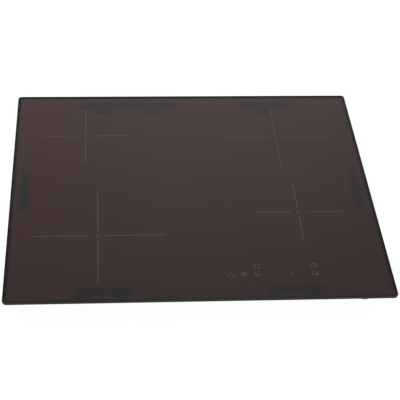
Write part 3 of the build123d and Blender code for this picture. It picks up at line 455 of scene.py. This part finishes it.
def litz_winding():
    """Enamelled copper litz wound flat: ridges that follow the turns, amber varnish over copper, darkened
    down into the grooves between the turns as painted shade.

    A bundle of litz is about 2.6 mm thick. A ridge is drawn for two turns, so that it shows.
    """
    bundle = 2.6 * MM
    relief = 1.0 * MM
    material, tree, shader, place = start_material("litz_winding_enamelled", Metallic=0.85, Roughness=0.38)
    nearest = None
    for zone in zone_names:
        low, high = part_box(f"mica_sheet_{zone}")
        centre = (low + high) / 2
        level = add_node(
            tree, "ShaderNodeVectorMath", {0: place, 1: (1.0, 1.0, 0.0)}, operation="MULTIPLY",
        )
        distance = add_node(
            tree, "ShaderNodeVectorMath", {0: level.outputs["Vector"], 1: (centre.x, centre.y, 0.0)},
            operation="DISTANCE",
        ).outputs["Value"]
        if nearest is not None:
            distance = add_node(
                tree, "ShaderNodeMath", {0: nearest, 1: distance}, operation="MINIMUM",
            ).outputs["Value"]
        nearest = distance
    turns = add_node(tree, "ShaderNodeMath", {0: nearest, 1: bundle}, operation="PINGPONG")
    ridge = add_node(
        tree, "ShaderNodeMapRange", {"Value": turns.outputs["Value"], "From Max": bundle},
    )
    # painted shade: the colour runs from copper on the ridge tops to dark brown down in the grooves between
    # them
    tint = add_node(
        tree, "ShaderNodeMixRGB",
        {"Fac": ridge.outputs["Result"], "Color1": from_hex("#5b2a12"), "Color2": from_hex("#c07a48")},
    )
    bump = add_node(
        tree, "ShaderNodeBump", {"Height": ridge.outputs["Result"], "Strength": 0.8, "Distance": relief},
    )
    tree.links.new(tint.outputs["Color"], shader.inputs["Base Color"])
    tree.links.new(bump.outputs["Normal"], shader.inputs["Normal"])
    return material


def sintered_ferrite():
    """Sintered ferrite, ground flat: charcoal grey with a graphite sheen and a granular break.

    The real grains are a few hundredths of a millimetre. They are drawn coarser, so that they show.
    """
    grain_mm = 0.8
    material, tree, shader, place = start_material("ferrite_sintered", Metallic=0.25, IOR=2.0)
    grains = add_node(
        tree, "ShaderNodeTexNoise", {"Vector": place, "Scale": per_metre(grain_mm), "Detail": 6.0},
    )
    tint = add_node(
        tree, "ShaderNodeMixRGB",
        {"Fac": grains.outputs["Fac"], "Color1": from_hex("#2c2d31"), "Color2": from_hex("#4a4b50")},
    )
    gloss = add_node(
        tree, "ShaderNodeMapRange", {"Value": grains.outputs["Fac"], "To Min": 0.4, "To Max": 0.7},
    )
    tree.links.new(tint.outputs["Color"], shader.inputs["Base Color"])
    tree.links.new(gloss.outputs["Result"], shader.inputs["Roughness"])
    return material


def circuit_board():
    """Glass-epoxy board under green solder mask: copper tracks show as a lighter, raised green."""
    field_mm = 14
    copper_mm = 0.07
    material, tree, shader, place = start_material("circuit_board_green_mask", IOR=1.5)
    tracks = add_node(
        tree, "ShaderNodeTexBrick",
        {
            "Vector": place, "Scale": per_metre(field_mm),
            "Brick Width": 0.9, "Row Height": 0.35, "Mortar Size": 0.06,
            "Color1": from_hex("#1c5233"), "Color2": from_hex("#184a2d"), "Mortar": from_hex("#2f7a4c"),
        },
    )
    gloss = add_node(
        tree, "ShaderNodeMapRange", {"Value": tracks.outputs["Fac"], "To Min": 0.42, "To Max": 0.3},
    )
    bump = add_node(
        tree, "ShaderNodeBump",
        {"Height": tracks.outputs["Fac"], "Strength": 0.4, "Distance": copper_mm * MM},
    )
    tree.links.new(tracks.outputs["Color"], shader.inputs["Base Color"])
    tree.links.new(gloss.outputs["Result"], shader.inputs["Roughness"])
    tree.links.new(bump.outputs["Normal"], shader.inputs["Normal"])
    return material


def laminated_iron():
    """Stamped electrical steel in a stack: dark varnished sheets that show as fine level lines.

    The sheets are 0.5 mm thick. A line is drawn for every second one, so that it shows.
    """
    sheet = 0.5 * MM
    material, tree, shader, place = start_material(
        "stator_laminations_varnished", Metallic=0.9, Roughness=0.42,
    )
    height = add_node(tree, "ShaderNodeSeparateXYZ", {0: place})
    gap = add_node(tree, "ShaderNodeMath", {0: height.outputs["Z"], 1: sheet}, operation="PINGPONG")
    edge = add_node(
        tree, "ShaderNodeMapRange", {"Value": gap.outputs["Value"], "From Max": sheet / 2},
    )
    tint = add_node(
        tree, "ShaderNodeMixRGB",
        {"Fac": edge.outputs["Result"], "Color1": from_hex("#2b221c"), "Color2": from_hex("#7d746b")},
    )
    tree.links.new(tint.outputs["Color"], shader.inputs["Base Color"])
    return material


def varnished_choke():
    """Ferrite choke with two varnished copper windings, which take up its wider ends; the bands are darker
    between the wires, as painted shade.

    The wire is 1.2 mm thick. At this scale a band of the wave covers about two wires, so that it
    shows.
    """
    wire_mm = 1.2
    relief_mm = 0.4
    material, tree, shader, place = start_material("choke_varnished_copper", Metallic=0.6, Roughness=0.35)
    wires = add_node(
        tree, "ShaderNodeTexWave",
        {"Vector": place, "Scale": per_metre(wire_mm) / (2 * math.pi), "Distortion": 0.4},
        bands_direction="Y",
    )
    # painted shade: the wave's troughs, where the bump is lowest, are dark brown as shade in the grooves
    # between wires
    tint = add_node(
        tree, "ShaderNodeMixRGB",
        {"Fac": wires.outputs["Fac"], "Color1": from_hex("#5a2d15"), "Color2": from_hex("#b5703c")},
    )
    bump = add_node(
        tree, "ShaderNodeBump",
        {"Height": wires.outputs["Fac"], "Strength": 0.6, "Distance": relief_mm * MM},
    )
    tree.links.new(tint.outputs["Color"], shader.inputs["Base Color"])
    tree.links.new(bump.outputs["Normal"], shader.inputs["Normal"])
    return material


def smoked_window():
    """Red-smoked acrylic over a dark display: black until lit, polished, with a faint ruby depth."""
    segment_mm = 5
    material, tree, shader, place = start_material("acrylic_red_smoked", IOR=1.49, Roughness=0.08)
    segments = add_node(
        tree, "ShaderNodeTexNoise", {"Vector": place, "Scale": per_metre(segment_mm), "Detail": 1.0},
    )
    tint = add_node(
        tree, "ShaderNodeMixRGB",
        {"Fac": segments.outputs["Fac"], "Color1": from_hex("#12080a"), "Color2": from_hex("#240b0e")},
    )
    tree.links.new(tint.outputs["Color"], shader.inputs["Base Color"])
    return material


# the record's material slots and the finish that each node in that slot gets
finishes = {
    "glass_ceramic": glass_ceramic(),
    "foam_gasket": porous_foam("foam_gasket_black", "#232325", cell_mm=0.9),
    "bonding_silicone": silicone_adhesive(),
    "bracket_steel": galvanised_steel("galvanised_bracket_sheet", spangle_mm=3.0),
    "tray_steel": galvanised_steel("galvanised_tray_sheet", spangle_mm=5.0),
    "screw_steel": drawn_metal("zinc_plated_screw", "#b9bec6", Z_AXIS, line_mm=0.4, roughness=0.32),
    "spring_steel": drawn_metal("stainless_spring_strip", "#b3b2b0", Y_AXIS, line_mm=0.5, roughness=0.3),
    "mica": mica_paper(),
    "copper_litz": litz_winding(),
    "former_plastic": moulded_plastic("glass_filled_polyester", "#2c2d2f", grain_mm=0.6, roughness=0.5),
    "ferrite": sintered_ferrite(),
    "sensor_ceramic": moulded_plastic("sensor_ceramic_white", "#d6d2c6", grain_mm=0.5, roughness=0.6),
    "plate_aluminium": drawn_metal("mill_finish_aluminium", "#d3d5d6", Y_AXIS, line_mm=0.5, roughness=0.34),
    "carrier_plastic": moulded_plastic("polypropylene_grey", "#6d7072", grain_mm=0.7, roughness=0.5),
    "circuit_board": circuit_board(),
    "heatsink_aluminium": drawn_metal("extruded_aluminium", "#cfd1d3", X_AXIS, line_mm=0.4, roughness=0.38),
    "transistor_case": moulded_plastic("epoxy_moulded_black", "#1d1d1f", grain_mm=0.3, roughness=0.55),
    "capacitor_case": moulded_plastic("capacitor_box_grey", "#858b90", grain_mm=0.5, roughness=0.35),
    "blower_plastic": moulded_plastic("blower_polyester_black", "#242527", grain_mm=0.6, roughness=0.45),
    "impeller_plastic": moulded_plastic(
        "impeller_polyamide_black", "#2b2c2f", grain_mm=0.8, roughness=0.38,
    ),
    "stator_iron": laminated_iron(),
    "choke_core": varnished_choke(),
    "control_plastic": moulded_plastic("control_carrier_black", "#1f2022", grain_mm=0.6, roughness=0.45),
    "touch_foam": porous_foam("conductive_foam_charcoal", "#2f2f31", cell_mm=0.6),
    "display_window": smoked_window(),
    "terminal_plastic": moulded_plastic(
        "terminal_box_polyamide", "#34363a", grain_mm=0.8, roughness=0.48, relief_mm=0.04,
    ),
    "terminal_block_plastic": moulded_plastic(
        "terminal_block_ivory", "#d9d3c3", grain_mm=0.5, roughness=0.4,
    ),
    "terminal_brass": drawn_metal("terminal_brass_turned", "#c39a4b", X_AXIS, line_mm=0.3, roughness=0.28),
}

for node in nodes.values():
    node.material_slots[0].material = finishes[node.material_slots[0].material.name]


# ---------------------------------------------------------------------------
# Tools for the marks and trim
# ---------------------------------------------------------------------------

enamel = ceramic_enamel()
print_thickness = 0.03 * MM
mark_line = 1.5 * MM
symbol_line = 1.1 * MM
round_steps = 24
end_steps = 8
corner_steps = 4


def make_object(mesh, name, material):
    """Turn a finished bmesh into an object of one material, at the origin."""
    data = bpy.data.meshes.new(name)
    mesh.to_mesh(data)
    mesh.free()
    data.materials.append(material)
    made = bpy.data.objects.new(name, data)
    bpy.context.scene.collection.objects.link(made)
    return made


def round_off(mesh, geom, radius, segments, affect):
    """Round vertices or edges off."""
    return bmesh.ops.bevel(
        mesh, geom=geom, offset=radius, offset_type="OFFSET", segments=segments, profile=0.5,
        affect=affect, material=-1,
    )


def moved_to(centre):
    """The matrix that moves a print from the origin to a place on the glass."""
    return Matrix.Translation(Vector(centre).to_3d())


def print_bar(mesh, start, end, width):
    """A printed line with rounded ends between two places on the glass."""
    along = Vector(end) - Vector(start)
    place = moved_to(start) @ Matrix.Rotation(math.atan2(along.y, along.x), 4, "Z")
    made = bmesh.ops.create_circle(mesh, cap_ends=True, radius=width / 2, segments=2 * end_steps)
    far_end = [vert for vert in made["verts"] if vert.co.x > 0]
    bmesh.ops.translate(mesh, verts=far_end, vec=(along.length, 0, 0))
    bmesh.ops.transform(mesh, matrix=place, verts=made["verts"])


def print_dot(mesh, centre, radius):
    """A printed filled dot."""
    bmesh.ops.create_circle(
        mesh, cap_ends=True, radius=radius, segments=round_steps, matrix=moved_to(centre),
    )


def print_arc(mesh, centre, radius, width, start_angle, turn):
    """A printed arc, swept round its centre from a start angle."""
    inner = mesh.verts.new((radius - width / 2, 0, 0))
    outer = mesh.verts.new((radius + width / 2, 0, 0))
    edge = mesh.edges.new((inner, outer))
    place = moved_to(centre) @ Matrix.Rotation(start_angle, 4, "Z")
    bmesh.ops.transform(mesh, matrix=place, verts=[inner, outer])
    bmesh.ops.spin(
        mesh, geom=[inner, outer, edge], cent=Vector(centre).to_3d(), axis=(0, 0, 1), angle=turn,
        steps=round_steps, use_merge=False,
    )


def print_plate(mesh, centre, width, height, corner):
    """A printed filled rectangle with rounded corners; returns its face."""
    place = moved_to(centre) @ Matrix.Diagonal((width, height, 1, 1))
    made = bmesh.ops.create_grid(mesh, x_segments=1, y_segments=1, size=0.5, matrix=place)
    rounded = round_off(mesh, made["verts"], corner, corner_steps, "VERTICES")
    return rounded["verts"][0].link_faces[0]


def print_frame(mesh, centre, width, height, corner, line):
    """A printed outline of a rectangle with rounded corners, its line thinner than the corner radius."""
    plate = print_plate(mesh, centre, width, height, corner)
    bmesh.ops.inset_region(mesh, faces=[plate], thickness=line, use_boundary=True, use_even_offset=True)
    bmesh.ops.delete(mesh, geom=[plate], context="FACES_ONLY")


def print_plus(mesh, centre, reach, line):
    """A printed plus sign: a square with an arm drawn out of each side, and rounded ends."""
    # just under half the line's width, so that the two corners of an end don't run into each other
    end_radius = 0.98 * line / 2
    middle = Vector(centre).to_3d()
    made = bmesh.ops.create_grid(
        mesh, x_segments=1, y_segments=1, size=line / 2, matrix=moved_to(centre),
    )
    for side in list(made["verts"][0].link_faces[0].edges):
        outward = ((side.verts[0].co + side.verts[1].co) / 2 - middle).normalized()
        arm = bmesh.ops.extrude_edge_only(mesh, edges=[side])
        end = [item for item in arm["geom"] if isinstance(item, bmesh.types.BMVert)]
        bmesh.ops.translate(mesh, verts=end, vec=outward * (reach - line / 2))
        round_off(mesh, end, end_radius, corner_steps, "VERTICES")


def finish_print(mesh, name):
    """Raise a flat print to its thickness on top of the glass and make it a piece of the hob."""
    bmesh.ops.recalc_face_normals(mesh, faces=mesh.faces[:])
    for face in mesh.faces:
        if face.normal.z < 0:
            face.normal_flip()
    raised = bmesh.ops.extrude_face_region(mesh, geom=mesh.faces[:])
    upper = [item for item in raised["geom"] if isinstance(item, bmesh.types.BMVert)]
    bmesh.ops.translate(mesh, verts=upper, vec=(0, 0, print_thickness))
    bmesh.ops.translate(mesh, verts=mesh.verts[:], vec=(0, 0, glass_top_z))
    piece = make_object(mesh, name, enamel)
    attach(piece, "hob")


# ---------------------------------------------------------------------------
# Cooking zone marks
# ---------------------------------------------------------------------------


def zone_mark(zone):
    """A cooking zone's mark: a cross that reaches the edge of the zone, open round a centre dot."""
    zone_rim = 6 * MM
    gap_across, gap_along = 12.5 * MM, 10 * MM
    dot_radius = 2.1 * MM
    low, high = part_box(f"mica_sheet_{zone}")
    centre = ((low + high) / 2).to_2d()
    reach = (high.x - low.x) / 2 + zone_rim
    cross = bmesh.new()
    for side in (-1, 1):
        for way, gap in (Vector((side, 0)), gap_across), (Vector((0, side)), gap_along):
            print_bar(cross, centre + way * gap, centre + way * reach, mark_line)
    print_dot(cross, centre, dot_radius)
    finish_print(cross, f"zone_mark_{zone}")


for zone in zone_names:
    zone_mark(zone)


# ---------------------------------------------------------------------------
# Symbols of the touch keys, each over one touch pad of the control board
# ---------------------------------------------------------------------------

board_low, board_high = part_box("control_board")
keys_middle = ((board_low + board_high) / 2).to_2d()
front_row, back_row = -9 * MM, 8 * MM
key_places = {
    "on_off": (-65 * MM, front_row - 1 * MM),
    "lock": (-45 * MM, front_row),
    "zone_front_left": (-24.5 * MM, front_row),
    "zone_rear_left": (-25.2 * MM, back_row),
    "minus": (7.7 * MM, front_row),
    "plus": (29 * MM, front_row),
    "zone_front_right": (63.3 * MM, front_row),
    "zone_rear_right": (63.3 * MM, back_row),
}


def key_place(key, across_mm=0.0, up_mm=0.0):
    """A place on the glass over a key, or beside it by a part of its symbol."""
    return keys_middle + Vector(key_places[key]) + Vector((across_mm * MM, up_mm * MM))


def on_off_symbol():
    """On and off: a ring that is open at the top, with a stroke through the gap."""
    radius = 5.2 * MM
    half_gap = math.radians(35)
    stroke_start_mm, stroke_end_mm = 1.5, 5.6
    ring = bmesh.new()
    print_arc(
        ring, key_place("on_off"), radius, symbol_line,
        start_angle=math.pi / 2 + half_gap, turn=2 * (math.pi - half_gap),
    )
    start, end = key_place("on_off", up_mm=stroke_start_mm), key_place("on_off", up_mm=stroke_end_mm)
    print_bar(ring, start, end, symbol_line)
    finish_print(ring, "symbol_on_off")


def lock_symbol():
    """Key lock: a case with a keyhole, and a shackle that stands on the case's upper edge."""
    case_width_mm, case_height_mm, case_corner_mm = 8.2, 6.2, 1.4
    across_mm, case_up_mm = -0.4, -1.3
    keyhole_radius = 1.4 * MM
    shackle_radius = 2.7 * MM
    case_middle = key_place("lock", across_mm, case_up_mm)
    case_top = key_place("lock", across_mm, case_up_mm + case_height_mm / 2)
    lock = bmesh.new()
    print_frame(
        lock, case_middle, case_width_mm * MM, case_height_mm * MM, case_corner_mm * MM, symbol_line,
    )
    print_dot(lock, case_middle, keyhole_radius)
    print_arc(lock, case_top, shackle_radius, symbol_line, start_angle=0, turn=math.pi)
    finish_print(lock, "symbol_lock")


def minus_symbol():
    """Less heat: a short bar."""
    reach_mm = 2.6
    minus = bmesh.new()
    print_bar(minus, key_place("minus", -reach_mm), key_place("minus", reach_mm), symbol_line)
    finish_print(minus, "symbol_minus")


def plus_symbol():
    """More heat: a plus."""
    reach = 3.2 * MM
    plus = bmesh.new()
    print_plus(plus, key_place("plus"), reach, symbol_line)
    finish_print(plus, "symbol_plus")


def zone_key_symbol(zone):
    """Key of a cooking zone: a small plan of the hob with a dot where the zone is."""
    width, height, corner = 9.4 * MM, 9.8 * MM, 2.0 * MM
    dot_radius = 1.7 * MM
    dot_across_mm, dot_up_mm = 1.8, 2.0
    key = f"zone_{zone}"
    across_mm = dot_across_mm if zone.endswith("right") else -dot_across_mm
    up_mm = dot_up_mm if zone.startswith("rear") else -dot_up_mm
    plan = bmesh.new()
    print_frame(plan, key_place(key), width, height, corner, symbol_line)
    print_dot(plan, key_place(key, across_mm, up_mm), dot_radius)
    finish_print(plan, f"symbol_{key}")


on_off_symbol()
lock_symbol()
minus_symbol()
plus_symbol()
for zone in zone_names:
    zone_key_symbol(zone)


# ---------------------------------------------------------------------------
# The lap of the gasket, under the front edge of the glass
# ---------------------------------------------------------------------------


def gasket_lap():
    """The end of the foam strip, laid over its start: a small pad with rounded corners."""
    lap_x = 244 * MM
    width, depth, height = 9 * MM, 7 * MM, 1.2 * MM
    corner, corner_segments = 0.4 * MM, 2
    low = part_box("worktop_gasket")[0]
    centre = Vector((lap_x, low.y + depth / 2, low.z - height / 2))
    size = Matrix.Translation(centre) @ Matrix.Diagonal((width, depth, height, 1))
    pad = bmesh.new()
    bmesh.ops.create_cube(pad, size=1.0, matrix=size)
    round_off(pad, pad.edges[:], corner, corner_segments, "EDGES")
    piece = make_object(pad, "gasket_lap", finishes["foam_gasket"])
    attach(piece, "hob")


gasket_lap()


# ---------------------------------------------------------------------------
# Studio: white paper floor, white surroundings, soft lamps and the camera
# ---------------------------------------------------------------------------

white = from_hex("#ffffff")


def seen_directly(tree):
    """1 for rays that look at the studio itself or see it in metal and glass, 0 for its light."""
    rays = add_node(tree, "ShaderNodeLightPath", {})
    either = add_node(
        tree, "ShaderNodeMath", {0: rays.outputs["Is Camera Ray"], 1: rays.outputs["Is Glossy Ray"]},
        operation="MAXIMUM",
    )
    return add_node(
        tree, "ShaderNodeMath", {0: either.outputs["Value"], 1: rays.outputs["Is Transmission Ray"]},
        operation="MAXIMUM",
    ).outputs["Value"]


def white_surroundings():
    """A white room that is greyer overhead and away from its middle, and gives a plain soft light."""
    greyest_way = (0.15, 0.0, 1.0)
    white_up_to, grey_from = 0.5, 0.8
    overhead_grey = 0.62
    middle_x = 0.1
    middle_edge, sides_from = 0.03, 0.17
    sides_lift = 0.07
    room_light = 0.55

    world = bpy.data.worlds.new("studio_room")
    bpy.context.scene.world = world
    world.use_nodes = True
    tree = world.node_tree
    tree.nodes.clear()
    direction = add_node(tree, "ShaderNodeTexCoord", {}).outputs["Generated"]
    height = add_node(
        tree, "ShaderNodeVectorMath", {0: direction, 1: greyest_way}, operation="DOT_PRODUCT",
    )
    across = add_node(tree, "ShaderNodeSeparateXYZ", {0: direction})
    aside = add_node(
        tree, "ShaderNodeMath", {0: across.outputs["X"], 1: middle_x}, operation="SUBTRACT",
    )
    off_middle = add_node(tree, "ShaderNodeMath", {0: aside.outputs["Value"]}, operation="ABSOLUTE")
    raised = add_node(
        tree, "ShaderNodeMapRange",
        {
            "Value": off_middle.outputs["Value"], "From Min": middle_edge, "From Max": sides_from,
            "To Max": sides_lift,
        },
        interpolation_type="SMOOTHSTEP",
    )
    level = add_node(
        tree, "ShaderNodeMath", {0: height.outputs["Value"], 1: raised.outputs["Result"]}, operation="ADD",
    )
    brightness = add_node(
        tree, "ShaderNodeMapRange",
        {
            "Value": level.outputs["Value"], "From Min": white_up_to, "From Max": grey_from,
            "To Min": 1.0, "To Max": overhead_grey,
        },
        interpolation_type="SMOOTHSTEP",
    )
    backdrop = add_node(
        tree, "ShaderNodeBackground", {"Color": white, "Strength": brightness.outputs["Result"]},
    )
    light = add_node(tree, "ShaderNodeBackground", {"Color": white, "Strength": room_light})
    mix = add_node(
        tree, "ShaderNodeMixShader",
        {0: seen_directly(tree), 1: light.outputs["Background"], 2: backdrop.outputs["Background"]},
    )
    add_node(tree, "ShaderNodeOutputWorld", {"Surface": mix.outputs["Shader"]})


def background_paper():
    """White background paper, matt: it shows white, takes the soft shadow, and is clear from below.

    What is seen of it is its own even white with a little lamp light, and the shadow takes that away.
    """
    own_white = 0.95
    material = bpy.data.materials.new("background_paper_white")
    material.use_nodes = True
    tree = material.node_tree
    tree.nodes.clear()
    paper = add_node(tree, "ShaderNodeBsdfDiffuse", {"Color": from_hex("#e6e6e6")})
    shaded = add_node(tree, "ShaderNodeBsdfDiffuse", {"Color": from_hex("#5a5a5a")})
    even = add_node(tree, "ShaderNodeEmission", {"Color": white, "Strength": own_white})
    shown = add_node(tree, "ShaderNodeAddShader", {0: shaded.outputs["BSDF"], 1: even.outputs["Emission"]})
    mix = add_node(
        tree, "ShaderNodeMixShader",
        {0: seen_directly(tree), 1: paper.outputs["BSDF"], 2: shown.outputs["Shader"]},
    )
    below = add_node(tree, "ShaderNodeNewGeometry", {}).outputs["Backfacing"]
    clear = add_node(tree, "ShaderNodeBsdfTransparent", {})
    one_sided = add_node(
        tree, "ShaderNodeMixShader", {0: below, 1: mix.outputs["Shader"], 2: clear.outputs["BSDF"]},
    )
    add_node(tree, "ShaderNodeOutputMaterial", {"Surface": one_sided.outputs["Shader"]})
    return material


def paper_floor(size):
    """A square of background paper, just below the hob so that their faces don't meet."""
    just_below = Matrix.Translation((0.0, 0.0, -0.2 * MM))
    sheet = bmesh.new()
    bmesh.ops.create_grid(sheet, x_segments=1, y_segments=1, size=size / 2, matrix=just_below)
    floor = make_object(sheet, "paper_floor", background_paper())


def softbox(name, place, size, power):
    """A square soft lamp that faces the hob."""
    lamp = bpy.data.lights.new(name, "AREA")
    lamp.size = size
    lamp.energy = power
    box = bpy.data.objects.new(name, lamp)
    box.location = place
    box.rotation_euler = (glass_middle - Vector(place)).to_track_quat("-Z", "Y").to_euler()
    bpy.context.scene.collection.objects.link(box)


def hob_camera(target, azimuth, elevation, distance, roll, lens):
    """A camera that looks at a place on the glass from an angle, turned about its own line of sight."""
    back = Vector(
        (
            math.sin(azimuth) * math.cos(elevation),
            -math.cos(azimuth) * math.cos(elevation),
            math.sin(elevation),
        )
    )
    data = bpy.data.cameras.new("hob_camera")
    data.sensor_width = 36.0
    data.lens = lens
    camera = bpy.data.objects.new("hob_camera", data)
    turned = back.to_track_quat("Z", "Y").to_matrix().to_4x4() @ Matrix.Rotation(roll, 4, "Z")
    camera.matrix_world = Matrix.Translation(Vector(target) + back * distance) @ turned
    bpy.context.scene.collection.objects.link(camera)
    bpy.context.scene.camera = camera


white_surroundings()
paper_floor(size=8.0)
softbox("key_softbox", place=(-1.0, 0.9, 2.1), size=1.2, power=30.0)
softbox("fill_softbox", place=(1.9, -0.7, 1.5), size=1.2, power=14.0)
hob_camera(
    target=(11.2 * MM, -32.6 * MM, glass_top_z),
    azimuth=math.radians(-5.97),
    elevation=math.radians(40.02),
    distance=1.932,
    roll=math.radians(3.2),
    lens=107.0,
)
bpy.context.scene.view_settings.view_transform = "Standard"
